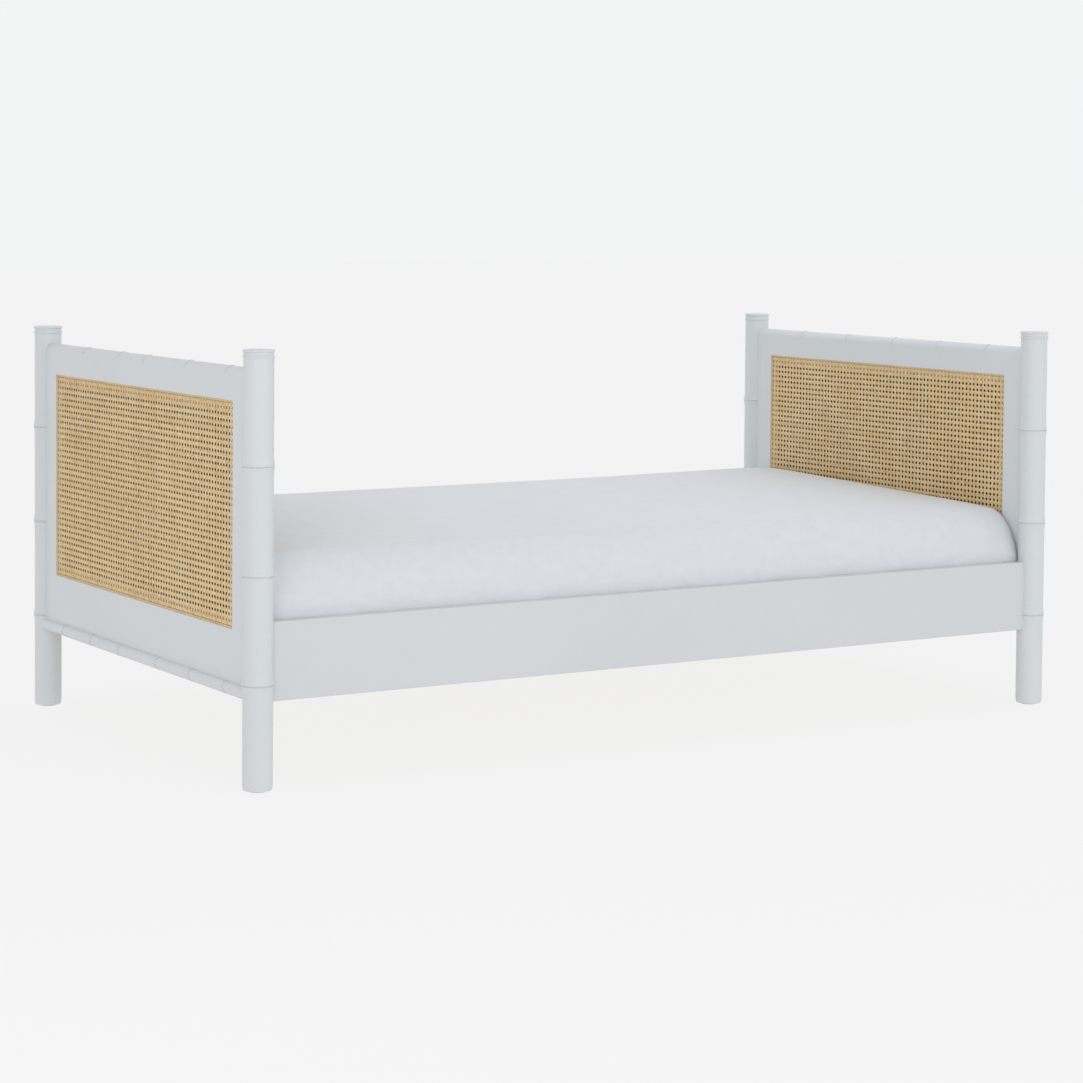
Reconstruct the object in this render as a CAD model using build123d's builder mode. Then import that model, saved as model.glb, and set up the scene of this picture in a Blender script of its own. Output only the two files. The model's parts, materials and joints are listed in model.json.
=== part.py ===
from build123d import *
import os

os.makedirs("parts", exist_ok=True)

# Daybed. Millimetres, +Z up. X runs from the foot end to the head end and Y from the front to the back.
# The origin is on the floor, under the middle of the bed.

# Driving dimensions
post_x = 980.0            # post centres, either side of the middle
post_y = 536.0
overall_height = 854.0
glide_thick = 3.0

mattress_length = 1924.0
mattress_width = 1032.0
mattress_thick = 203.0
mattress_gap = 0.3        # the slats don't press into the mattress
mattress_side_round = 75.0   # along the two long top edges
mattress_edge_round = 15.0   # along all the others

# Posts
post_r = 59.5 / 2
node_heights = (206.0, 417.0, 629.0)
node_proud = 2.0
foot_taper = 1.4
foot_taper_height = 10.0
ring_height = 5.0
ring_gap = 6.0
stem_d = 8.0
stem_length = 12.0
glide_d = 38.0

# End panels
panel_thick = 30.0
panel_bottom = 174.0
rail_top = 802.0          # under the rounded cap
cap_height = 15.0
cap_width = 30.0
bead_bottom = 176.0
bead_height = 24.0
bead_proud = 11.0
top_nodes = {"foot": (299, 113, -22, -226, -418), "head": (326, 144, -38, -205, -380)}
bottom_nodes = (390, 236, 86, -108, -270, -430)
node_ridge = 2.6
node_ridge_proud = 1.2

# Cane and what holds it
cane_width = 904.0        # the opening in the face of the panel, spline included
cane_bottom = 303.5
cane_top = 750.5
ledge = 20.0              # what is left of each member behind the cane's edge
rebate_depth = 4.0
spline_width = 4.0
spline_depth = 4.0        # below the ledge
cane_thick = 1.5
board_thick = 6.0
board_groove = 6.0
board_float = 1.0

# Joints in the end panels
tenon_thick = 12.0
tenon_reach = 524.0       # from the middle of the bed to the tenon's end, inside the post
blank_end = 520.0         # members are cut from blanks that end inside the posts
stile_tenon_width = 34.0
stile_tenon_length = 20.0
top_tenon = (760.0, 795.0)
bottom_tenon = (200.0, 285.0)

# Side rails, cleats and slats
rail_thick = 25.0
rail_outset = 9.0         # the outer face of a side rail stands this far outside the post centres
rail_bottom = 172.5
rail_height = 154.5
rail_ease = 2.0
slat_count = 13
slat_width = 70.0
slat_thick = 18.0
slat_length = 1034.0
slat_ease = 2.0
first_slat = 905.0
cleat_size = 25.0
cleat_length = 1880.0

# Rail hardware, with depths measured inwards from a post's centre line
plate_outer = 23.5
plate_thick = 3.0
plate_width = 16.0
plate_bottom = 180.0
plate_height = 140.0
hook_bases = (215.0, 275.0)
hook_thick = 4.0
hook_inner = 13.0
plate_screws = (187.0, 247.0, 309.0)

ends = {"foot": -1, "head": 1}
sides = {"front": -1, "back": 1}

# Worked out from the above
mattress_bottom = overall_height - 602.0
slat_top = mattress_bottom - mattress_gap
cleat_top = slat_top - slat_thick
slat_pitch = 2 * first_slat / (slat_count - 1)
slat_places = [i * slat_pitch - first_slat for i in range(slat_count)]
rail_face = post_y + rail_outset
rail_inner = rail_face - rail_thick
rail_middle = rail_face - rail_thick / 2
cane_height = cane_top - cane_bottom
cane_middle = (cane_top + cane_bottom) / 2
member_inner = cane_width / 2 - ledge
stile_bottom = cane_bottom + ledge
stile_top = cane_top - ledge
plate_face = plate_outer + plate_thick


def save(piece, name):
    """Labels a finished piece and writes it to its own file."""
    piece.part.label = name
    export_step(piece.part, f"parts/{name}.step")


def block(x, y, z):
    """A box of its own from three (low, high) pairs."""
    middle = [(low + high) / 2 for low, high in (x, y, z)]
    with BuildPart(Plane(middle)) as box:
        Box(x[1] - x[0], y[1] - y[0], z[1] - z[0])
    return box.part


def both(a, b):
    """A (low, high) pair from two values in any order."""
    return (min(a, b), max(a, b))


def turned_post(x, y):
    """A post as it leaves the lathe, with its bamboo nodes and the two rings at its top."""
    r = post_r
    outline_plane = Plane((x, y, 0), x_dir=(1, 0, 0), z_dir=(0, -1, 0))
    lower_ring = overall_height - 2 * ring_height - ring_gap
    upper_ring = overall_height - ring_height
    with BuildPart() as post:
        with BuildSketch(outline_plane):
            with BuildLine():
                start = glide_thick + foot_taper_height
                Polyline((0, glide_thick), (r - foot_taper, glide_thick), (r, start))
                for z in node_heights:
                    Line((r, start), (r, z - 20))
                    ThreePointArc((r, z - 20), (r + 0.6, z - 9), (r + node_proud, z - 1.2))
                    Polyline((r + node_proud, z - 1.2), (r + 0.4, z - 0.6), (r + 0.4, z + 0.4))
                    ThreePointArc((r + 0.4, z + 0.4), (r + node_proud + 0.2, z + 2.2), (r + 1.2, z + 4))
                    Line((r + 1.2, z + 4), (r, z + 18))
                    start = z + 18
                Line((r, start), (r, lower_ring))
                for z in (lower_ring, upper_ring):
                    ThreePointArc((r, z), (r + node_proud, z + ring_height / 2), (r, z + ring_height))
                Line((r, lower_ring + ring_height), (r, upper_ring))
                Polyline((r, overall_height), (0, overall_height), (0, glide_thick))
            make_face()
        revolve(axis=Axis((x, y, 0), (0, 0, 1)))
    return post.part


def screw(head_plane, length, shank_d, head_d):
    """A countersunk screw: its head is flush with the plane and its shank goes in behind it."""
    head_height = (head_d - shank_d) / 2
    with BuildPart() as one:
        with BuildSketch(head_plane):
            Circle(head_d / 2)
        with BuildSketch(head_plane.offset(-head_height)):
            Circle(shank_d / 2)
        loft()
        with BuildSketch(head_plane.offset(-head_height)):
            Circle(shank_d / 2)
        extrude(amount=head_height - length)
    return one.part


def panel_hollow(end_x):
    """Everything that the four members of an end panel leave room for: opening, rebates and grooves."""
    face = panel_thick / 2
    width, height = cane_width, cane_height
    with BuildPart(Plane((end_x, 0, cane_middle))) as hollow:
        Box(panel_thick, width - 2 * ledge, height - 2 * ledge)
        Box(board_thick, width - 2 * ledge + 2 * board_groove, height - 2 * ledge + 2 * board_groove)
        for outward in (-1, 1):
            rebate_x = outward * (face - rebate_depth / 2)
            with Locations((rebate_x, 0, 0)):
                Box(rebate_depth, width, height)
            for along, across in ((0, 1), (1, 0)):
                for sign in (-1, 1):
                    groove_x = outward * (face - rebate_depth - spline_depth / 2)
                    groove_y = sign * across * (width - spline_width) / 2
                    groove_z = sign * along * (height - spline_width) / 2
                    with Locations((groove_x, groove_y, groove_z)):
                        Box(
                            spline_depth,
                            spline_width if across else width,
                            spline_width if along else height,
                        )
    return hollow.part


turned = {
    (end, side): turned_post(ends[end] * post_x, sides[side] * post_y)
    for end in ends
    for side in sides
}
hollows = {end: panel_hollow(ends[end] * post_x) for end in ends}


def end_tenon(end, heights):
    """The through-board of a rail's two tenons, from inside one post to inside the other."""
    x = ends[end] * post_x
    half = tenon_thick / 2
    return block((x - half, x + half), (-tenon_reach, tenon_reach), heights)


def stile_tenon(end, side, heights):
    """A stile's stub tenon, which goes into a rail."""
    x = ends[end] * post_x
    y = sides[side] * (member_inner + blank_end) / 2
    half = tenon_thick / 2
    y_range = (y - stile_tenon_width / 2, y + stile_tenon_width / 2)
    return block((x - half, x + half), y_range, heights)


def stile_tenons(end, side):
    """The tenons at both ends of one stile."""
    return (
        stile_tenon(end, side, (stile_bottom - stile_tenon_length, stile_bottom)),
        stile_tenon(end, side, (stile_top, stile_top + stile_tenon_length)),
    )


def corner_x(end, depth):
    """The x of a depth inside a post's centre line, towards the middle of the bed."""
    return ends[end] * (post_x - depth)


def corner_block(end, side, depths, width, heights):
    """A block of the rail hardware, centred on the thickness of the side rail."""
    y = sides[side] * rail_middle
    x_range = both(corner_x(end, depths[0]), corner_x(end, depths[1]))
    return block(x_range, (y - width / 2, y + width / 2), heights)


def post_plate_screws(end, side):
    """The screws that hold a slotted plate in its post."""
    x = corner_x(end, plate_face)
    y = sides[side] * rail_middle
    return [screw(Plane((x, y, z), z_dir=(-ends[end], 0, 0)), 22, 4, 7.5) for z in plate_screws]


def hook_plate_screws(end, side):
    """The screws that hold a hook plate on the end of its side rail."""
    x = corner_x(end, plate_face)
    y = sides[side] * rail_middle
    return [screw(Plane((x, y, z), z_dir=(ends[end], 0, 0)), 40, 4, 7.5) for z in plate_screws]


def cleat_screws(side):
    """The screws from a cleat into its side rail, in every second gap between the slats."""
    y = sides[side] * (rail_inner - cleat_size)
    z = cleat_top - cleat_size / 2
    gaps = [x + slat_pitch / 2 for x in slat_places[:-1:2]]
    return [screw(Plane((x, y, z), z_dir=(0, -sides[side], 0)), 45, 5, 9) for x in gaps]


def slat_screws(x):
    """The two screws through the ends of one slat into the cleats."""
    y = rail_inner - cleat_size / 2
    return [screw(Plane((x, sign * y, slat_top)), 36, 4, 8) for sign in (-1, 1)]


def make_post(end, side):
    """A post with its mortises, the seat of its slotted plate and the hole of its glide."""
    x, y = ends[end] * post_x, sides[side] * post_y
    with BuildPart() as post:
        add(turned[end, side])
        for heights in (top_tenon, bottom_tenon):
            add(end_tenon(end, heights), mode=Mode.SUBTRACT)
        heights = (plate_bottom, plate_bottom + plate_height)
        seat = corner_block(end, side, (plate_outer, post_r + 5), plate_width, heights)
        add(seat, mode=Mode.SUBTRACT)
        for base in hook_bases:
            depths = (hook_inner - 3, plate_outer)
            add(corner_block(end, side, depths, hook_thick + 2, (base - 18, base + 22)), mode=Mode.SUBTRACT)
        for one in post_plate_screws(end, side):
            add(one, mode=Mode.SUBTRACT)
        with BuildSketch(Plane((x, y, glide_thick))):
            Circle(stem_d / 2)
        extrude(amount=stem_length, mode=Mode.SUBTRACT)
    save(post, f"post_{end}_{side}")


def make_glide(end, side):
    """A glide: a low disc under the post, with a stem in the post."""
    with BuildPart() as glide:
        with BuildSketch(Plane((ends[end] * post_x, sides[side] * post_y, 0))):
            Circle(glide_d / 2)
        extrude(amount=glide_thick)
        with BuildSketch(Plane((ends[end] * post_x, sides[side] * post_y, glide_thick))):
            Circle(stem_d / 2)
        extrude(amount=stem_length)
    save(glide, f"glide_{end}_{side}")


def make_end_rail(end, name, heights, tenon_heights):
    """A rail of an end panel, coped to the round posts and tenoned into them."""
    x = ends[end] * post_x
    half = panel_thick / 2
    with BuildPart() as rail:
        add(block((x - half, x + half), (-blank_end, blank_end), heights))
        for side in sides:
            add(turned[end, side], mode=Mode.SUBTRACT)
        add(end_tenon(end, tenon_heights))
        for side in sides:
            for tenon in stile_tenons(end, side):
                add(tenon, mode=Mode.SUBTRACT)
        add(hollows[end], mode=Mode.SUBTRACT)
    save(rail, f"{name}_{end}")


def make_stile(end, side):
    """A stile of an end panel, coped to its post and tenoned into both rails."""
    x = ends[end] * post_x
    half = panel_thick / 2
    y_range = both(sides[side] * member_inner, sides[side] * blank_end)
    with BuildPart() as stile:
        add(block((x - half, x + half), y_range, (stile_bottom, stile_top)))
        add(turned[end, side], mode=Mode.SUBTRACT)
        add(hollows[end], mode=Mode.SUBTRACT)
        for tenon in stile_tenons(end, side):
            add(tenon)
    save(stile, f"stile_{end}_{side}")


def make_top_cap(end):
    """The half-round cap of a top rail, with bamboo nodes."""
    x = ends[end] * post_x
    with BuildPart() as cap:
        lengths = [(blank_end, 2 * blank_end, 0.0)]
        lengths += [(y + node_ridge / 2, node_ridge, node_ridge_proud) for y in top_nodes[end]]
        for start, length, proud in lengths:
            with BuildSketch(Plane((x, start, rail_top), x_dir=(1, 0, 0), z_dir=(0, -1, 0))):
                Ellipse(cap_width / 2 + proud, cap_height + proud)
                Rectangle(2 * cap_width, 2 * cap_height, align=(Align.CENTER, Align.MAX), mode=Mode.SUBTRACT)
            extrude(amount=length)
        for side in sides:
            add(turned[end, side], mode=Mode.SUBTRACT)
    save(cap, f"top_cap_{end}")


def make_bottom_bead(end):
    """The half-round bead along the bottom of a panel's outer face, with bamboo nodes."""
    outward = ends[end]
    x = outward * (post_x + panel_thick / 2)
    z = bead_bottom + bead_height / 2
    inner_half = (Align.MAX if outward > 0 else Align.MIN, Align.CENTER)
    with BuildPart() as bead:
        lengths = [(tenon_reach, 2 * tenon_reach, 0.0)]
        lengths += [(y + node_ridge / 2, node_ridge, node_ridge_proud) for y in bottom_nodes]
        for start, length, proud in lengths:
            with BuildSketch(Plane((x, start, z), x_dir=(1, 0, 0), z_dir=(0, -1, 0))):
                Ellipse(bead_proud + proud, bead_height / 2 + proud)
                Rectangle(2 * bead_height, 2 * bead_height, align=inner_half, mode=Mode.SUBTRACT)
            extrude(amount=length)
        for side in sides:
            add(turned[end, side], mode=Mode.SUBTRACT)
    save(bead, f"bottom_bead_{end}")


def make_backing_board(end):
    """The board in the middle of an end panel, loose in its grooves."""
    width = cane_width - 2 * ledge + 2 * (board_groove - board_float)
    height = cane_height - 2 * ledge + 2 * (board_groove - board_float)
    with BuildPart(Plane((ends[end] * post_x, 0, cane_middle))) as board:
        Box(board_thick, width, height)
    save(board, f"backing_board_{end}")


def make_cane(end, face, outward):
    """One woven sheet and the reed spline that holds it down around its edges."""
    face_x = ends[end] * post_x + outward * panel_thick / 2
    cane_x = face_x - outward * (rebate_depth - cane_thick / 2)
    spline_thick = cane_thick + spline_depth
    spline_x = face_x - outward * (rebate_depth - cane_thick + spline_thick / 2)
    width, height = cane_width - 2 * spline_width, cane_height - 2 * spline_width
    with BuildPart(Plane((cane_x, 0, cane_middle))) as cane:
        Box(cane_thick, width, height)
    save(cane, f"cane_{face}_{end}")
    with BuildPart(Plane((spline_x, 0, cane_middle))) as spline:
        Box(spline_thick, cane_width, cane_height)
        Box(spline_thick, width, height, mode=Mode.SUBTRACT)
    save(spline, f"cane_spline_{face}_{end}")


def make_post_plate(end, side):
    """The slotted steel plate let into a post."""
    heights = (plate_bottom, plate_bottom + plate_height)
    with BuildPart() as plate:
        add(corner_block(end, side, (plate_outer, plate_face), plate_width, heights))
        for base in hook_bases:
            slot_heights = (base - 9, base + 20.5)
            slot = corner_block(end, side, (plate_outer, plate_face), hook_thick + 0.4, slot_heights)
            add(slot, mode=Mode.SUBTRACT)
        for one in post_plate_screws(end, side):
            add(one, mode=Mode.SUBTRACT)
    save(plate, f"post_plate_{end}_{side}")


def make_hook_plate(end, side):
    """The steel plate on the end of a side rail, whose two hooks drop behind the slotted plate."""
    heights = (plate_bottom, plate_bottom + plate_height)
    outer = plate_face + plate_thick
    lip = plate_outer - 0.2
    with BuildPart() as plate:
        add(corner_block(end, side, (plate_face, outer), plate_width, heights))
        for base in hook_bases:
            add(corner_block(end, side, (hook_inner, plate_face), hook_thick, (base - 9, base + 12)))
            add(corner_block(end, side, (hook_inner, lip), hook_thick, (base - 16, base - 9)))
        for one in hook_plate_screws(end, side):
            add(one, mode=Mode.SUBTRACT)
    save(plate, f"hook_plate_{end}_{side}")


def make_side_rail(side):
    """A side rail, coped to the posts and recessed for its two hook plates."""
    half_length = post_x - 10
    y_range = both(sides[side] * rail_inner, sides[side] * rail_face)
    heights = (plate_bottom, plate_bottom + plate_height)
    with BuildPart() as rail:
        add(block((-half_length, half_length), y_range, (rail_bottom, rail_bottom + rail_height)))
        fillet(rail.edges().filter_by(Axis.X), rail_ease)
        for end in ends:
            add(turned[end, side], mode=Mode.SUBTRACT)
            recess = corner_block(end, side, (plate_face, plate_face + plate_thick), plate_width, heights)
            add(recess, mode=Mode.SUBTRACT)
            for one in hook_plate_screws(end, side):
                add(one, mode=Mode.SUBTRACT)
        for one in cleat_screws(side):
            add(one, mode=Mode.SUBTRACT)
    save(rail, f"side_rail_{side}")


def make_cleat(side):
    """The ledger strip inside a side rail, which carries the slats."""
    y_range = both(sides[side] * (rail_inner - cleat_size), sides[side] * rail_inner)
    with BuildPart() as cleat:
        add(block((-cleat_length / 2, cleat_length / 2), y_range, (cleat_top - cleat_size, cleat_top)))
        for one in cleat_screws(side):
            add(one, mode=Mode.SUBTRACT)
        for x in slat_places:
            for one in slat_screws(x):
                add(one, mode=Mode.SUBTRACT)
    save(cleat, f"slat_cleat_{side}")


def make_slat(number, x):
    """One slat, with a screw hole near each end."""
    x_range = (x - slat_width / 2, x + slat_width / 2)
    with BuildPart() as slat:
        add(block(x_range, (-slat_length / 2, slat_length / 2), (slat_top - slat_thick, slat_top)))
        fillet(slat.edges().filter_by(Axis.Y), slat_ease)
        for one in slat_screws(x):
            add(one, mode=Mode.SUBTRACT)
    save(slat, f"slat_{number:02d}")


def make_screws(name, screws):
    """A group of identical screws, each a solid of its own."""
    with BuildPart() as group:
        for one in screws:
            add(one)
    save(group, name)


def make_mattress():
    """The mattress, softest along its two long top edges."""
    with BuildPart(Plane((0, 0, mattress_bottom + mattress_thick / 2))) as mattress:
        Box(mattress_length, mattress_width, mattress_thick)
        long_edges = mattress.faces().sort_by(Axis.Z)[-1].edges().filter_by(Axis.X)
        fillet(long_edges, mattress_side_round)
        ends_of_mattress = mattress.faces().filter_by(Axis.X)
        fillet(ends_of_mattress.edges(), mattress_edge_round)
    save(mattress, "mattress")


corners = [(end, side) for end in ends for side in sides]
for end, side in corners:
    make_post(end, side)
    make_glide(end, side)
    make_stile(end, side)
    make_post_plate(end, side)
    make_hook_plate(end, side)
for end in ends:
    make_end_rail(end, "top_rail", (stile_top, rail_top), top_tenon)
    make_end_rail(end, "bottom_rail", (panel_bottom, stile_bottom), bottom_tenon)
    make_top_cap(end)
    make_bottom_bead(end)
    make_backing_board(end)
    make_cane(end, "outer", ends[end])
    make_cane(end, "inner", -ends[end])
for side in sides:
    make_side_rail(side)
    make_cleat(side)
for number, x in enumerate(slat_places, 1):
    make_slat(number, x)
make_screws("post_plate_screws", [one for corner in corners for one in post_plate_screws(*corner)])
make_screws("hook_plate_screws", [one for corner in corners for one in hook_plate_screws(*corner)])
make_screws("cleat_screws", [one for side in sides for one in cleat_screws(side)])
make_screws("slat_screws", [one for x in slat_places for one in slat_screws(x)])
make_mattress()
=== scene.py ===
import json
import math

import bpy
import numpy as np
from mathutils import Matrix, Vector


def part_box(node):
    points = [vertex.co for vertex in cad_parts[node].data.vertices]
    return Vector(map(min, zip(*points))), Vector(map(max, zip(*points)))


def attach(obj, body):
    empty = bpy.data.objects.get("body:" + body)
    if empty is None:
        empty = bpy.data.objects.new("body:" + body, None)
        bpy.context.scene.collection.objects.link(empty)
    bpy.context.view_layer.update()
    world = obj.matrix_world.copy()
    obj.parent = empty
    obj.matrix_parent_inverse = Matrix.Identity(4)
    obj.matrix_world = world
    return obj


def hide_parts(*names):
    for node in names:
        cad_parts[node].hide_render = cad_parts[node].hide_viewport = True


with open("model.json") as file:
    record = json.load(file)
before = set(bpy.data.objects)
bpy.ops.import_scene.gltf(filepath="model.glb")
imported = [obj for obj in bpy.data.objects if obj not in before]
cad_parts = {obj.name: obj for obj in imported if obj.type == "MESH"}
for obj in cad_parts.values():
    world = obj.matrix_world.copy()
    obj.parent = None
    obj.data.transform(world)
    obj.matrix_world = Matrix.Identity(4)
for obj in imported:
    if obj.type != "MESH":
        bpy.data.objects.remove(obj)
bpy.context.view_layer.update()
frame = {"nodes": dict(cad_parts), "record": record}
nodes = frame["nodes"]
ENDS = {"foot": -1, "head": 1}
SIDES = {"front": -1, "back": 1}

# ---------------------------------------------------------------- camera
CAMERA_PLACE = (-3.35913, -5.41265, 1.14213)
CAMERA_TURN = 31.736      # degrees from +Y towards +X
CAMERA_DOWN = 2.731
CAMERA_ROLL = 0.461
CAMERA_LENS = 93.724
CAMERA_SHIFT_Y = -0.19
SENSOR_WIDTH = 36
CLIP_END = 200


def make_camera():
    """The camera, from its place and its three turns."""
    a, p, r = (math.radians(x) for x in (CAMERA_TURN, CAMERA_DOWN, CAMERA_ROLL))
    forward = Vector((math.sin(a) * math.cos(p), math.cos(a) * math.cos(p), -math.sin(p)))
    right = Vector((math.cos(a), -math.sin(a), 0))
    up = right.cross(forward)
    right_rolled = right * math.cos(r) + up * math.sin(r)
    up_rolled = up * math.cos(r) - right * math.sin(r)
    data = bpy.data.cameras.new("camera")
    data.lens = CAMERA_LENS
    data.sensor_width = SENSOR_WIDTH
    data.shift_y = CAMERA_SHIFT_Y
    data.clip_end = CLIP_END
    camera = bpy.data.objects.new("camera", data)
    bpy.context.scene.collection.objects.link(camera)
    turn = Matrix((right_rolled, up_rolled, -forward)).transposed().to_4x4()
    camera.matrix_world = Matrix.Translation(CAMERA_PLACE) @ turn
    bpy.context.scene.camera = camera


make_camera()


# ---------------------------------------------------------------- node helpers
class Nodes:
    """A material's or world's node tree, with short calls to add and join nodes."""

    def __init__(self, owner):
        owner.use_nodes = True
        self.tree = owner.node_tree
        self.tree.nodes.clear()

    def add(self, kind, inputs=None, **settings):
        node = self.tree.nodes.new("ShaderNode" + kind)
        for key, value in settings.items():
            setattr(node, key, value)
        for key, value in (inputs or {}).items():
            if isinstance(value, bpy.types.NodeSocket):
                self.tree.links.new(value, node.inputs[key])
            else:
                node.inputs[key].default_value = value
        return node

    def math(self, operation, a, b=0.0, c=0.0):
        node = self.tree.nodes.new("ShaderNodeMath")
        node.operation = operation
        for i, value in enumerate((a, b, c)):
            if isinstance(value, bpy.types.NodeSocket):
                self.tree.links.new(value, node.inputs[i])
            else:
                node.inputs[i].default_value = value
        return node.outputs[0]

    def ramp(self, factor, stops):
        node = self.add("ValToRGB", {"Fac": factor})
        elements = node.color_ramp.elements
        while len(elements) < len(stops):
            elements.new(0.5)
        for element, (place, colour) in zip(elements, stops):
            element.position = place
            element.color = (*colour, 1)
        return node.outputs["Color"]

    def place(self, scale=(1, 1, 1)):
        """Rest coordinates in metres, stretched."""
        coordinates = self.add("TexCoord").outputs["Object"]
        return self.add("Mapping", {"Vector": coordinates, "Scale": scale}).outputs[0]

    def noise(self, vector, scale, detail=2.0, roughness=0.5):
        inputs = {"Vector": vector, "Scale": scale, "Detail": detail, "Roughness": roughness}
        return self.add("TexNoise", inputs).outputs["Fac"]

    def finish(self, colour, roughness, bump=None, distance=0.0002, strength=0.5, **fixed):
        inputs = {"Base Color": colour, "Roughness": roughness}
        if bump is not None:
            made = self.add("Bump", {"Height": bump, "Distance": distance, "Strength": strength})
            inputs["Normal"] = made.outputs[0]
        shader = self.add("BsdfPrincipled", inputs)
        for key, value in fixed.items():
            shader.inputs[key.replace("_", " ")].default_value = value
        self.add("OutputMaterial", {"Surface": shader.outputs[0]})


def spread(n, factor, low, high):
    """A 0 to 1 factor moved to low to high."""
    return n.math("MULTIPLY_ADD", factor, high - low, low)


# ---------------------------------------------------------------- materials
PAINT_TONES = [(0.3, (0.594, 0.623, 0.640)), (0.7, (0.620, 0.649, 0.666))]
# Painted shade: the side rails carry the same white paint as the posts, and these tones are a darker, greyer
# copy that stands in for the shading on their front faces.
SHADED_RAIL_TONES = [(0.3, (0.580, 0.600, 0.612)), (0.7, (0.604, 0.624, 0.636))]


def white_paint(name, tones=PAINT_TONES, bare_inside=None):
    """Sprayed satin paint: faint tone drift, fine orange peel and slightly uneven gloss.

    bare_inside, (middle x, half depth, half width, middle z, half height), leaves wood bare behind the cane.
    """
    m = bpy.data.materials.new(name)
    n = Nodes(m)
    drift = n.noise(n.place(), 3.0, 3.0)
    speck = n.noise(n.place(), 60.0, 3.0)
    mixed = n.math("MULTIPLY_ADD", speck, 0.25, n.math("MULTIPLY", drift, 0.75))
    colour = n.ramp(mixed, tones)
    if bare_inside:
        middle_x, half_depth, half_width, middle_z, half_height = bare_inside
        place = n.add("SeparateXYZ", {"Vector": n.place()}).outputs
        depth = n.math("ABSOLUTE", n.math("SUBTRACT", n.math("ABSOLUTE", place[0]), middle_x))
        inside = n.math("LESS_THAN", depth, half_depth)
        across = n.math("LESS_THAN", n.math("ABSOLUTE", place[1]), half_width)
        rise = n.math("ABSOLUTE", n.math("SUBTRACT", place[2], middle_z))
        upright = n.math("LESS_THAN", rise, half_height)
        mask = n.math("MULTIPLY", inside, n.math("MULTIPLY", across, upright))
        grain = n.noise(n.place((30, 30, 90)), 4.0, 3.0, 0.6)
        bare = n.ramp(grain, [(0.3, (0.34, 0.21, 0.10)), (0.7, (0.48, 0.33, 0.18))])
        mixer = n.add("Mix", {"Factor": mask}, data_type="RGBA")
        n.tree.links.new(colour, mixer.inputs[6])
        n.tree.links.new(bare, mixer.inputs[7])
        colour = mixer.outputs[2]
    roughness = spread(n, n.noise(n.place(), 25.0, 4.0), 0.34, 0.48)
    peel = n.noise(n.place(), 420.0, 2.0)
    n.finish(colour, roughness, peel, 0.00012, 0.35, Specular_IOR_Level=0.42, Coat_Weight=0.06)
    return m


STRAND_SHARE = 0.22             # how much of cane's tone comes from the strand,
FIBRE_SHARE = 0.40              # its fibres
MARK_SHARE = 0.38               # and its growth marks


def cane():
    """Split cane: each strand a little different, with fibres and darker growth marks along it."""
    m = bpy.data.materials.new("cane")
    n = Nodes(m)
    uv = n.add("UVMap").outputs["UV"]
    fibre_place = n.add("Mapping", {"Vector": uv, "Scale": (18, 900, 1)}).outputs[0]
    fibre = n.noise(fibre_place, 1.0, 3.0, 0.6)
    mark_place = n.add("Mapping", {"Vector": uv, "Scale": (9, 30, 1)}).outputs[0]
    mark = n.noise(mark_place, 1.0, 2.0)
    strand = n.add("Attribute", attribute_name="strand").outputs["Fac"]
    tone = n.math("MULTIPLY_ADD", strand, STRAND_SHARE, n.math("MULTIPLY", fibre, FIBRE_SHARE))
    tone = n.math("MULTIPLY_ADD", mark, MARK_SHARE, tone)
    stops = [
        (0.26, (0.47, 0.28, 0.11)),
        (0.42, (0.69, 0.49, 0.24)),
        (0.58, (0.80, 0.62, 0.35)),
        (0.76, (0.88, 0.73, 0.47)),
    ]
    roughness = spread(n, fibre, 0.34, 0.55)
    n.finish(n.ramp(tone, stops), roughness, fibre, 0.00015, 0.6, Specular_IOR_Level=0.45)
    return m


def reed():
    """The narrow reed strip around the cane, smooth with fine lengthwise fibres."""
    m = bpy.data.materials.new("reed")
    n = Nodes(m)
    fibre = n.noise(n.place((1, 1, 1)), 240.0, 4.0, 0.7)
    drift = n.noise(n.place(), 14.0, 2.0)
    tone = n.math("MULTIPLY_ADD", fibre, 0.5, n.math("MULTIPLY", drift, 0.5))
    stops = [(0.3, (0.55, 0.36, 0.17)), (0.7, (0.74, 0.55, 0.32))]
    n.finish(n.ramp(tone, stops), spread(n, fibre, 0.4, 0.6), fibre, 0.0002, 0.5)
    return m


def wood(name, along, dark, light, rough):
    """Straight-grained wood with the grain running along one axis."""
    m = bpy.data.materials.new(name)
    n = Nodes(m)
    stretched = tuple(2.2 if axis == along else 38.0 for axis in "XYZ")
    fine = tuple(9.0 if axis == along else 420.0 for axis in "XYZ")
    bands = n.noise(n.place(stretched), 1.0, 4.0, 0.62)
    pores = n.noise(n.place(fine), 1.0, 3.0, 0.6)
    tone = n.math("MULTIPLY_ADD", pores, 0.35, n.math("MULTIPLY", bands, 0.65))
    roughness = spread(n, pores, rough - 0.08, rough + 0.1)
    n.finish(n.ramp(tone, [(0.3, dark), (0.68, light)]), roughness, tone, 0.0004, 0.5)
    return m


def steel():
    """Zinc-plated steel with fine brushing and cloudy gloss."""
    m = bpy.data.materials.new("steel")
    n = Nodes(m)
    brushed = n.noise(n.place((40, 40, 1500)), 1.0, 2.0)
    cloud = n.noise(n.place(), 90.0, 3.0)
    colour = n.ramp(cloud, [(0.3, (0.46, 0.47, 0.49)), (0.7, (0.62, 0.62, 0.61))])
    n.finish(colour, spread(n, brushed, 0.25, 0.45), brushed, 0.00008, 0.4, Metallic=1.0)
    return m


def glide_plastic():
    """Moulded grey-white plastic with a fine grain."""
    m = bpy.data.materials.new("glide_plastic")
    n = Nodes(m)
    grain = n.noise(n.place(), 900.0, 2.0)
    colour = n.ramp(grain, [(0.3, (0.50, 0.50, 0.49)), (0.7, (0.58, 0.58, 0.57))])
    n.finish(colour, spread(n, grain, 0.5, 0.65), grain, 0.0001, 0.5)
    return m


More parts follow.
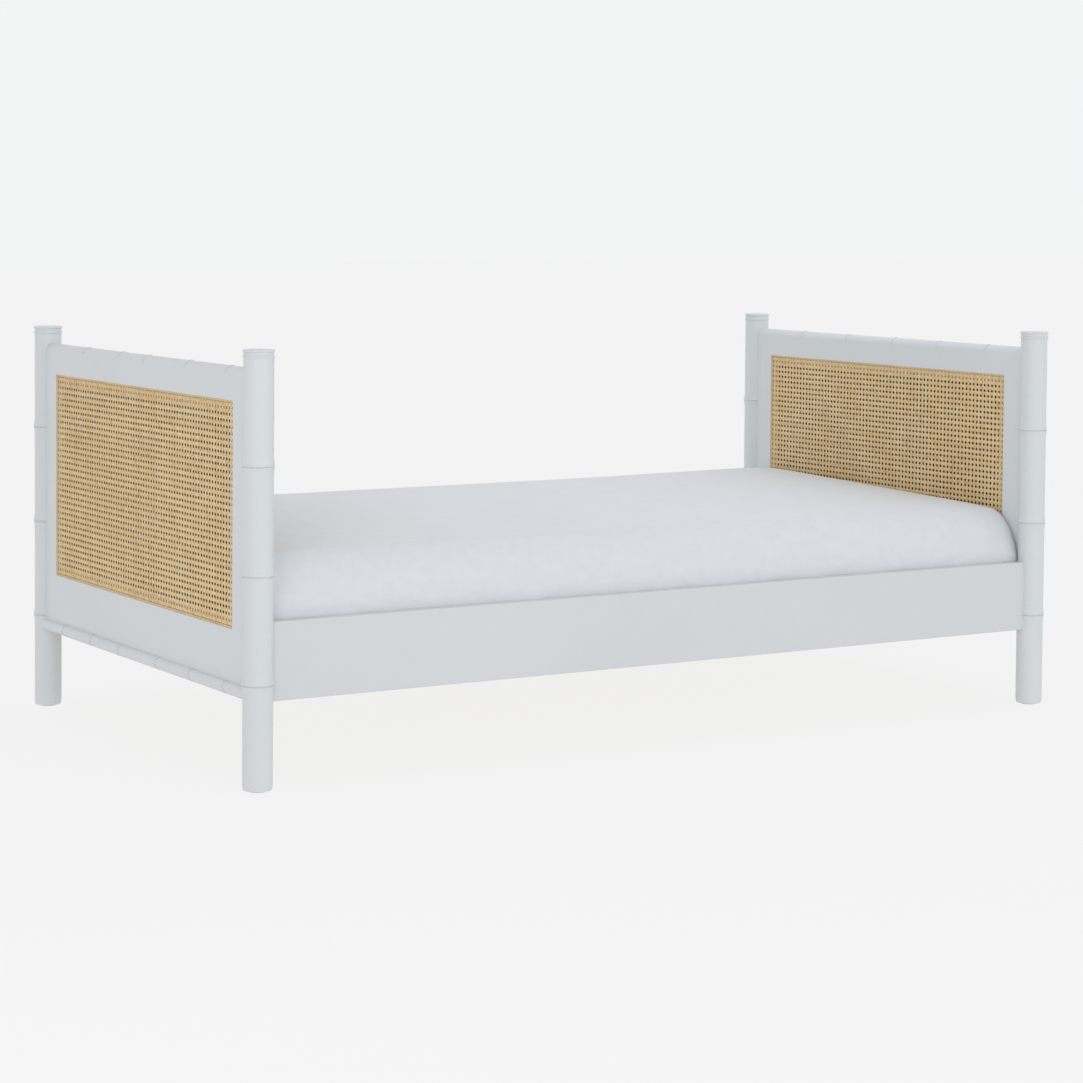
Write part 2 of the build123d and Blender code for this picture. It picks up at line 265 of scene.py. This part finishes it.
def cotton(name, low, high):
    """Smooth percale: fine crossing threads, slight slubs and a soft sheen."""
    m = bpy.data.materials.new(name)
    n = Nodes(m)
    threads = None
    for direction in "XYZ":
        inputs = {"Vector": n.place(), "Scale": 260.0, "Distortion": 0.4, "Detail": 1.0}
        wave = n.add("TexWave", inputs, wave_type="BANDS", bands_direction=direction)
        one = wave.outputs["Fac"]
        threads = one if threads is None else n.math("ADD", threads, one)
    slub = n.noise(n.place(), 45.0, 4.0, 0.6)
    height = n.math("MULTIPLY_ADD", threads, 0.3, slub)
    colour = n.ramp(slub, [(0.3, low), (0.7, high)])
    roughness = spread(n, slub, 0.78, 0.9)
    fixed = {"Sheen_Weight": 0.25, "Sheen_Roughness": 0.45, "Specular_IOR_Level": 0.25}
    n.finish(colour, roughness, height, 0.00018, 0.35, **fixed)
    return m


PAINT = white_paint("white_paint")
cane_low, cane_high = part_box("cane_outer_head")
post_middle = (cane_low.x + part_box("cane_inner_head")[1].x) / 2
PANEL_PAINT = white_paint(
    "white_paint_bare_inside",
    PAINT_TONES,
    (post_middle, cane_low.x - post_middle + 0.0002, cane_high.y + 0.004,
     (cane_low.z + cane_high.z) / 2, (cane_high.z - cane_low.z) / 2 + 0.004),
)
# Painted shade: a darker copy of the white paint for the side rails, standing in for how the light falls on
# them.
SHADED_RAIL_PAINT = white_paint("white_paint_rail_painted_shade", SHADED_RAIL_TONES)
CANE = cane()
COTTON = cotton("sheet_fabric", (0.632, 0.655, 0.692), (0.660, 0.683, 0.718))
FOAM_COVER = cotton("mattress_cover", (0.72, 0.72, 0.70), (0.78, 0.78, 0.76))
BY_SLOT = {
    "white_paint": PAINT,
    "cane": CANE,
    "reed": reed(),
    "backing_board": wood("backing_board", "Z", (0.060, 0.032, 0.014), (0.115, 0.064, 0.030), 0.8),
    "bare_wood": wood("bare_wood", "Y", (0.50, 0.33, 0.18), (0.68, 0.50, 0.32), 0.62),
    "steel": steel(),
    "glide_plastic": glide_plastic(),
    "sheet_fabric": COTTON,
}
CLEAT_WOOD = wood("bare_wood_cleat", "X", (0.50, 0.33, 0.18), (0.68, 0.50, 0.32), 0.62)

for part in frame["record"]["subparts"]:
    node = nodes[part["node"]]
    finish = BY_SLOT[part["material_slot"]]
    if part["node"].startswith("slat_cleat"):
        finish = CLEAT_WOOD
    if part["node"].startswith(("stile", "top_rail", "bottom_rail")):
        finish = PANEL_PAINT
    # The side rails get the darker painted-shade copy of the white paint.
    if part["node"].startswith("side_rail"):
        finish = SHADED_RAIL_PAINT
    node.data.materials.clear()
    node.data.materials.append(finish)


# ---------------------------------------------------------------- mesh helpers
def piece(name, points, faces, material, body, smooth=True):
    """A mesh object in the frame, riding on a body."""
    mesh = bpy.data.meshes.new(name)
    mesh.from_pydata([tuple(p) for p in points], [], [tuple(f) for f in faces])
    mesh.materials.append(material)
    mesh.polygons.foreach_set("use_smooth", [smooth] * len(mesh.polygons))
    mesh.update()
    made = bpy.data.objects.new(name, mesh)
    bpy.context.scene.collection.objects.link(made)
    if body:
        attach(made, body)
    return made


# ---------------------------------------------------------------- woven cane
PITCH_ACROSS = 0.0129
PITCH_UP = 0.0126
STRAND_WIDTH = 0.0026
PAIR_OFFSET = 0.0015
DIAGONAL_WIDTH = 0.0026
STRAND_THICK = 0.00046
LAYER = 0.00047                 # how far a strand stands off the sheet's middle where it crosses others
LEVEL_WAVE = 0.12               # the level pairs are pulled tight and wave only this share of LAYER
SHORTEST_DIAGONAL = 0.4         # in pitches; shorter corner strands are left out
WEAVE_SEED = 7


def square_strands(across_span, up_span):
    """The upright and level pairs, as lists of (u, v, w) points with their width direction."""
    strands = []
    spans = (across_span, up_span)
    pitches = (PITCH_ACROSS, PITCH_UP)
    for along in (1, 0):
        other = 1 - along
        low, high = spans[along]
        half = pitches[along] / 2
        inner = np.arange(math.ceil(low / half + 0.2), math.floor(high / half - 0.2) + 1)
        steps = np.concatenate([[low / half], inner, [high / half]])
        lines = np.arange(math.ceil(spans[other][0] / pitches[other] + 0.3),
                          math.floor(spans[other][1] / pitches[other] - 0.3) + 1)
        for line in lines:
            for member in (-1, 1):
                crossing = np.cos(steps * math.pi / 2) ** 2
                if along == 1:
                    height = member * LAYER * crossing
                else:
                    height = member * LEVEL_WAVE * LAYER * np.cos((steps / 2 + line) * math.pi) * crossing
                points = np.zeros((len(steps), 3))
                points[:, along] = steps * half
                points[:, other] = line * pitches[other] + member * PAIR_OFFSET
                points[:, 2] = height
                width = np.zeros(3)
                width[other] = STRAND_WIDTH / 2
                strands.append((points, width))
    return strands


def diagonal_strands(across_span, up_span):
    """The two sets of slanting strands, which cross between the holes."""
    strands = []
    u_low, u_high = (x / PITCH_ACROSS for x in across_span)
    v_low, v_high = (x / PITCH_UP for x in up_span)
    for slope in (1, -1):
        reach = math.ceil(max(u_high - u_low, v_high - v_low))
        for k in range(-reach, reach + 1):
            offset = k + 0.5
            ends = sorted(slope * (v + offset) if slope == 1 else offset - v for v in (v_low, v_high))
            low, high = max(u_low, ends[0]), min(u_high, ends[1])
            if high - low < SHORTEST_DIAGONAL:
                continue
            inner = np.arange(math.ceil(low * 2 + 0.2), math.floor(high * 2 - 0.2) + 1) / 2
            u = np.concatenate([[low], inner, [high]])
            v = u - offset if slope == 1 else offset - u
            points = np.zeros((len(u), 3))
            points[:, 0] = u * PITCH_ACROSS
            points[:, 1] = v * PITCH_UP
            points[:, 2] = -slope * LAYER * np.cos(2 * math.pi * u)
            run = np.array([PITCH_ACROSS, slope * PITCH_UP, 0])
            run /= np.linalg.norm(run)
            strands.append((points, np.array([-run[1], run[0], 0]) * DIAGONAL_WIDTH / 2))
    return strands


def weave_piece(name, strands, centre, outward, seed, body, node):
    """One closed ribbon per strand, placed on the panel's face."""
    rng = np.random.default_rng(seed)
    all_points, all_faces, all_uvs, tones = [], [], [], []
    count = 0
    up = np.array([0, 0, STRAND_THICK / 2])
    for points, width in strands:
        n = len(points)
        rings = np.stack([points + width + up, points - width + up,
                          points - width - up, points + width - up], axis=1)
        all_points.append(rings.reshape(-1, 3))
        start = count + 4 * np.arange(n - 1)[:, None]
        corner = np.arange(4)[None, :]
        following = (corner + 1) % 4
        quads = np.stack([start + corner, start + following,
                          start + 4 + following, start + 4 + corner], axis=2).reshape(-1, 4)
        caps = np.array([[count + 3, count + 2, count + 1, count],
                         [count + 4 * n - 4, count + 4 * n - 3, count + 4 * n - 2, count + 4 * n - 1]])
        all_faces.append(np.concatenate([quads, caps]))
        length = np.concatenate([[0], np.cumsum(np.linalg.norm(np.diff(points, axis=0), axis=1))])
        shift = rng.random(2) * 10
        side = np.array([0.0, STRAND_WIDTH, STRAND_WIDTH, 0.0])
        uv = np.stack([np.repeat(length, 4) + shift[0], np.tile(side, n) + shift[1]], axis=1)
        all_uvs.append(uv)
        tones.append(np.full(4 * n, rng.random()))
        count += 4 * n
    local = np.concatenate(all_points)
    placed = np.empty_like(local)
    placed[:, 0] = centre[0] + outward * local[:, 2]
    placed[:, 1] = centre[1] + local[:, 0]
    placed[:, 2] = centre[2] + local[:, 1]
    faces = np.concatenate(all_faces)
    if outward < 0:
        faces = faces[:, ::-1]
    mesh = bpy.data.meshes.new(name)
    mesh.vertices.add(len(placed))
    mesh.vertices.foreach_set("co", placed.astype(np.float32).ravel())
    mesh.loops.add(faces.size)
    mesh.loops.foreach_set("vertex_index", faces.astype(np.int32).ravel())
    mesh.polygons.add(len(faces))
    mesh.polygons.foreach_set("loop_start", np.arange(0, faces.size, 4, dtype=np.int32))
    mesh.polygons.foreach_set("use_smooth", np.ones(len(faces), bool))
    mesh.update(calc_edges=True)
    mesh.uv_layers.new(name="along").data.foreach_set(
        "uv", np.concatenate(all_uvs)[faces.ravel()].astype(np.float32).ravel())
    tone = mesh.attributes.new("strand", "FLOAT", "POINT")
    tone.data.foreach_set("value", np.concatenate(tones).astype(np.float32))
    mesh.materials.append(CANE)
    made = bpy.data.objects.new(name, mesh)
    bpy.context.scene.collection.objects.link(made)
    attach(made, body)
    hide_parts(node)


def make_weave():
    """The four cane sheets."""
    for end, direction in ENDS.items():
        for face, outward in (("outer", direction), ("inner", -direction)):
            node = f"cane_{face}_{end}"
            low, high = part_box(node)
            centre = (low + high) / 2
            half = (high - low) / 2
            across, up = (-half.y, half.y), (-half.z, half.z)
            seed = WEAVE_SEED + 2 * list(ENDS).index(end) + (face == "inner")
            for kind, strands in (("squares", square_strands(across, up)),
                                  ("diagonals", diagonal_strands(across, up))):
                weave_piece(f"cane_weave_{face}_{end}_{kind}", strands, centre, outward,
                            seed, "frame", node)


make_weave()


# ---------------------------------------------------------------- mattress and fitted sheet
SIDE_ROUND = (0.080, 0.108)      # the long top edges: inwards and downwards
BOTTOM_ROUND = (0.020, 0.020)
ROUND_POWER = 1.65              # a true ellipse is 2, and less makes the side slope more
SHEET_STEP = 0.020
SHEET_GAP = 0.0010              # from the CAD mattress in to the sheet
UNDERSIDE_DEPTH = 0.0005        # points up to this far above the sheet's bottom are its underside
CORE_INSET = 0.0045             # from the CAD mattress in to the core
TUCK = 0.12                     # how far the sheet reaches under the mattress
SHEET_THICK = 0.0006
CROWN = 0.003
TILT = 0.006                    # the top's back edge stands this much above its middle
END_TILT = 0.006                # and this much more at the head end
CORNER_DROP = 0.010             # the sheet pulls the top corners down
CORNER_REACH = (0.130, 0.150)
CORNER_POWER = (2, 1.3)         # how quickly that pull grows along and across the bed
UPPER_PART = (-0.05, 0.08)      # the settling starts at this height from the middle, over this depth
HEAD_PART = (0.3, 0.7)          # the head-end tilt starts at 0.3 of the half length and takes the rest
CLOTH_FRAMES = 24
CLOTH_REACH = 0.007             # no point moves farther than this from where it started
CLOTH_CLEARANCE = 0.0022
CLOTH_FRICTION = 5
COLLISION_QUALITY = 3
PINNED_BELOW = 0.5              # the sheet is held below this share of the half height under the middle
CLOTH_SETTINGS = {
    "quality": 6,
    "mass": 0.2,
    "tension_stiffness": 25,
    "compression_stiffness": 25,
    "shear_stiffness": 12,
    "bending_stiffness": 2.5,
    "tension_damping": 12,
    "compression_damping": 12,
    "shear_damping": 8,
    "bending_damping": 2,
    "shrink_min": -0.004,
    "vertex_group_mass": "hem",
}
SEAM_SIDES = 8
SEAM_STAND_OFF = 0.0004
SEAM_HALF_DEPTH = 0.0007
SEAM_HALF_WIDTH = 0.0016


def axis_places(half, low, high, step):
    """Places along one axis, even along the flat part and round corners of radius low and high."""
    parts = [np.linspace(-half + low, half - high, max(2, round((2 * half - low - high) / step)) + 1)]
    for radius, at_start in ((low, True), (high, False)):
        if radius:
            count = max(2, round(radius * math.pi / 2 / step))
            turn = radius * np.tan(np.arange(1, count + 1) * math.pi / 4 / count)
            parts = [-half + low - turn[::-1]] + parts if at_start else parts + [half - high + turn]
    return np.concatenate(parts)


def soft_box(half, step):
    """Points and faces of a closed box whose long edges are rounded, and its grid of point numbers."""
    places = [
        axis_places(half[0], 0, 0, step),
        axis_places(half[1], SIDE_ROUND[0], SIDE_ROUND[0], step),
        axis_places(half[2], BOTTOM_ROUND[1], SIDE_ROUND[1], step),
    ]
    size = [len(p) - 1 for p in places]
    index, points, faces = {}, [], []

    def rounded(y, z):
        across, down = SIDE_ROUND if z > 0 else BOTTOM_ROUND
        inner_y, inner_z = half[1] - across, half[2] - down
        a, b = max(abs(y) - inner_y, 0) / across, max(abs(z) - inner_z, 0) / down
        if a == 0 or b == 0:
            return y, z
        pull = max(a, b) / (a ** ROUND_POWER + b ** ROUND_POWER) ** (1 / ROUND_POWER)
        return math.copysign(inner_y + a * pull * across, y), math.copysign(inner_z + b * pull * down, z)

    def corner(key):
        if key not in index:
            index[key] = len(points)
            x, y, z = (places[axis][key[axis]] for axis in range(3))
            points.append((x, *rounded(y, z)))
        return index[key]

    for axis in range(3):
        a, b = (axis + 1) % 3, (axis + 2) % 3
        for end in (0, size[axis]):
            for i in range(size[a]):
                for j in range(size[b]):
                    keys = []
                    for di, dj in ((0, 0), (1, 0), (1, 1), (0, 1)):
                        key = [0, 0, 0]
                        key[axis], key[a], key[b] = end, i + di, j + dj
                        keys.append(corner(tuple(key)))
                    faces.append(keys if end else keys[::-1])
    return np.array(points), faces, index, size


def smoothstep(x):
    x = np.clip(x, 0, 1)
    return x * x * (3 - 2 * x)


def settled(points, half):
    """The box as it lies: a slight crown, a slight slope and softly pulled corners."""
    out = points.copy()
    x, y, z = points.T
    upper = smoothstep((z - UPPER_PART[0]) / UPPER_PART[1])
    crown = CROWN * (1 - (x / half[0]) ** 2) * (1 - (y / half[1]) ** 2)
    slope = y / half[1] * (TILT + END_TILT * smoothstep((x / half[0] - HEAD_PART[0]) / HEAD_PART[1]))
    along = np.clip((np.abs(x) - half[0] + CORNER_REACH[0]) / CORNER_REACH[0], 0, 1)
    across = np.clip((np.abs(y) - half[1] + CORNER_REACH[1]) / CORNER_REACH[1], 0, 1)
    drop = CORNER_DROP * along ** CORNER_POWER[0] * across ** CORNER_POWER[1]
    out[:, 2] += upper * (crown + slope - drop)
    return out


def run_cloth(cloth_object, collider):
    """Runs Blender's cloth on a mesh and gives the points that it ends with."""
    scene = bpy.context.scene
    collider.modifiers.new("collision", "COLLISION")
    collider.collision.thickness_outer = CLOTH_CLEARANCE
    collider.collision.cloth_friction = CLOTH_FRICTION
    modifier = cloth_object.modifiers.new("cloth", "CLOTH")
    for key, value in CLOTH_SETTINGS.items():
        setattr(modifier.settings, key, value)
    modifier.collision_settings.distance_min = CLOTH_CLEARANCE
    modifier.collision_settings.collision_quality = COLLISION_QUALITY
    modifier.point_cache.frame_end = CLOTH_FRAMES
    scene.frame_start, scene.frame_end = 1, CLOTH_FRAMES
    for f in range(1, CLOTH_FRAMES + 1):
        scene.frame_set(f)
    depsgraph = bpy.context.evaluated_depsgraph_get()
    baked = bpy.data.meshes.new_from_object(cloth_object.evaluated_get(depsgraph))
    cloth_object.modifiers.remove(modifier)
    collider.modifiers.remove(collider.modifiers["collision"])
    points = np.zeros(len(baked.vertices) * 3, np.float32)
    baked.vertices.foreach_get("co", points)
    bpy.data.meshes.remove(baked)
    scene.frame_set(1)
    return points.reshape(-1, 3).astype(float)


def apply_modifiers(made):
    """Replaces a piece's mesh with its modified one."""
    depsgraph = bpy.context.evaluated_depsgraph_get()
    mesh = bpy.data.meshes.new_from_object(made.evaluated_get(depsgraph))
    made.modifiers.clear()
    made.data = mesh


def make_bedding():
    """The mattress core and the fitted sheet pulled over it."""
    low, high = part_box("mattress")
    middle = np.array((low + high) / 2)
    half = np.array((high - low) / 2)
    points, faces, _, _ = soft_box(half - CORE_INSET, SHEET_STEP)
    core = piece("mattress_core", settled(points, half) + middle, faces, FOAM_COVER, "mattress")
    smooth = core.modifiers.new("smooth", "SUBSURF")
    smooth.levels = smooth.render_levels = 1
    apply_modifiers(core)

    sheet_half = half - SHEET_GAP
    points, faces, index, size = soft_box(sheet_half, SHEET_STEP)
    points = settled(points, half) + middle
    bottom = low.z + SHEET_GAP + UNDERSIDE_DEPTH
    inset = sheet_half[:2] - TUCK
    flat = np.abs(points[:, :2] - middle[:2])
    left_out = (points[:, 2] < bottom) & (flat[:, 0] < inset[0]) & (flat[:, 1] < inset[1])
    faces = [f for f in faces if not all(left_out[i] for i in f)]
    used = np.unique(np.array(faces).ravel())
    renumber = np.full(len(points), -1)
    renumber[used] = np.arange(len(used))
    faces = [[int(renumber[i]) for i in f] for f in faces]
    points = points[used]
    sheet = piece("fitted_sheet", points, faces, COTTON, None)
    hem = sheet.vertex_groups.new(name="hem")
    held = np.nonzero(points[:, 2] < middle[2] - PINNED_BELOW * half[2])[0]
    hem.add([int(i) for i in held], 1.0, "REPLACE")
    moved = run_cloth(sheet, core)
    step = moved - points
    length = np.linalg.norm(step, axis=1, keepdims=True)
    moved = points + step * np.minimum(1, CLOTH_REACH / np.maximum(length, 1e-9))
    sheet.data.vertices.foreach_set("co", moved.astype(np.float32).ravel())
    smooth = sheet.modifiers.new("smooth", "SUBSURF")
    smooth.levels = smooth.render_levels = 1
    apply_modifiers(sheet)
    for end in ENDS:
        for side in SIDES:
            column = [index[(0 if end == "foot" else size[0], 0 if side == "front" else size[1], k)]
                      for k in range(size[2] + 1)]
            path = [sheet.data.vertices[int(renumber[i])].co.copy() for i in column]
            corner_seam(f"sheet_seam_{end}_{side}", path, (ENDS[end], SIDES[side]))
    shell = sheet.modifiers.new("shell", "SOLIDIFY")
    shell.thickness = SHEET_THICK
    shell.offset = 0
    apply_modifiers(sheet)
    sheet.data.polygons.foreach_set("use_smooth", [True] * len(sheet.data.polygons))
    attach(sheet, "mattress")
    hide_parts("mattress")


def corner_seam(name, path, outward):
    """The narrow felled seam down one corner of the fitted sheet."""
    out = Vector((*outward, 0)).normalized()
    side = Vector((-out.y, out.x, 0))
    points, faces = [], []
    ring = [(math.cos(t), math.sin(t)) for t in np.arange(SEAM_SIDES) * 2 * math.pi / SEAM_SIDES]
    for p in path:
        points += [p + out * (SEAM_STAND_OFF + SEAM_HALF_DEPTH * c) + side * SEAM_HALF_WIDTH * s
                   for c, s in ring]
    for i in range(len(path) - 1):
        here = SEAM_SIDES * i
        above = here + SEAM_SIDES
        for k in range(SEAM_SIDES):
            q = (k + 1) % SEAM_SIDES
            faces.append((here + k, here + q, above + q, above + k))
    last = SEAM_SIDES * (len(path) - 1)
    faces.append(tuple(range(SEAM_SIDES - 1, -1, -1)))
    faces.append(tuple(last + k for k in range(SEAM_SIDES)))
    made = piece(name, points, faces, COTTON, "mattress")
    return made


make_bedding()


# ---------------------------------------------------------------- floor and light
BACKDROP = 0.905
ZENITH = 0.84
BACKDROP_TINT = (0.995, 1.0, 1.006, 1)
DIMMING = (0.15, 0.9)           # the walls dim between these rises of the view, as sines
FLOOR_SIZE = 40
FLOOR_GLOW = 0.83
FLOOR_PAPER = 0.075


def make_stage():
    """An even pale studio: a floor that takes a faint shadow, and walls that dim towards the ceiling."""
    far = FLOOR_SIZE
    corners = [(-far, -far, 0), (far, -far, 0), (far, far, 0), (-far, far, 0)]
    m = bpy.data.materials.new("studio_floor")
    n = Nodes(m)
    glow = n.add("Emission", {"Color": (1, 1, 1, 1), "Strength": FLOOR_GLOW})
    paper = n.add("BsdfDiffuse", {"Color": (FLOOR_PAPER, FLOOR_PAPER, FLOOR_PAPER, 1)})
    both = n.add("AddShader")
    n.tree.links.new(glow.outputs[0], both.inputs[0])
    n.tree.links.new(paper.outputs[0], both.inputs[1])
    n.add("OutputMaterial", {"Surface": both.outputs[0]})
    floor = piece("studio_floor", corners, [(0, 1, 2, 3)], m, None, smooth=False)
    world = bpy.data.worlds.new("studio")
    bpy.context.scene.world = world
    n = Nodes(world)
    direction = n.add("TexCoord").outputs["Generated"]
    rise = n.add("SeparateXYZ", {"Vector": direction}).outputs[2]
    inputs = {"Value": rise, "From Min": DIMMING[0], "From Max": DIMMING[1],
              "To Min": BACKDROP, "To Max": ZENITH}
    level = n.add("MapRange", inputs, interpolation_type="SMOOTHSTEP").outputs[0]
    shade = n.add("Background", {"Color": BACKDROP_TINT, "Strength": level})
    n.add("OutputWorld", {"Surface": shade.outputs[0]})


def area_light(name, place, target, size, power, colour=(1, 1, 1)):
    """A soft box that faces a point."""
    data = bpy.data.lights.new(name, "AREA")
    data.shape = "RECTANGLE"
    data.size, data.size_y = size
    data.energy = power
    data.color = colour
    made = bpy.data.objects.new(name, data)
    bpy.context.scene.collection.objects.link(made)
    made.location = place
    made.rotation_mode = "QUATERNION"
    made.rotation_quaternion = (Vector(target) - Vector(place)).to_track_quat("-Z", "Y")


make_stage()
area_light("front_box", (0.5, -3.5, 1.3), (0.3, 0, 0.4), (4.6, 1.6), 19)
area_light("left_box", (-2.6, -2.4, 1.3), (-0.8, -0.3, 0.5), (0.9, 1.5), 9)
area_light("top_box", (0.9, 0.05, 2.2), (0.8, 0.05, 0), (0.9, 1.2), 4.5, (0.82, 0.89, 1.0))
bpy.context.scene.view_settings.view_transform = "Standard"
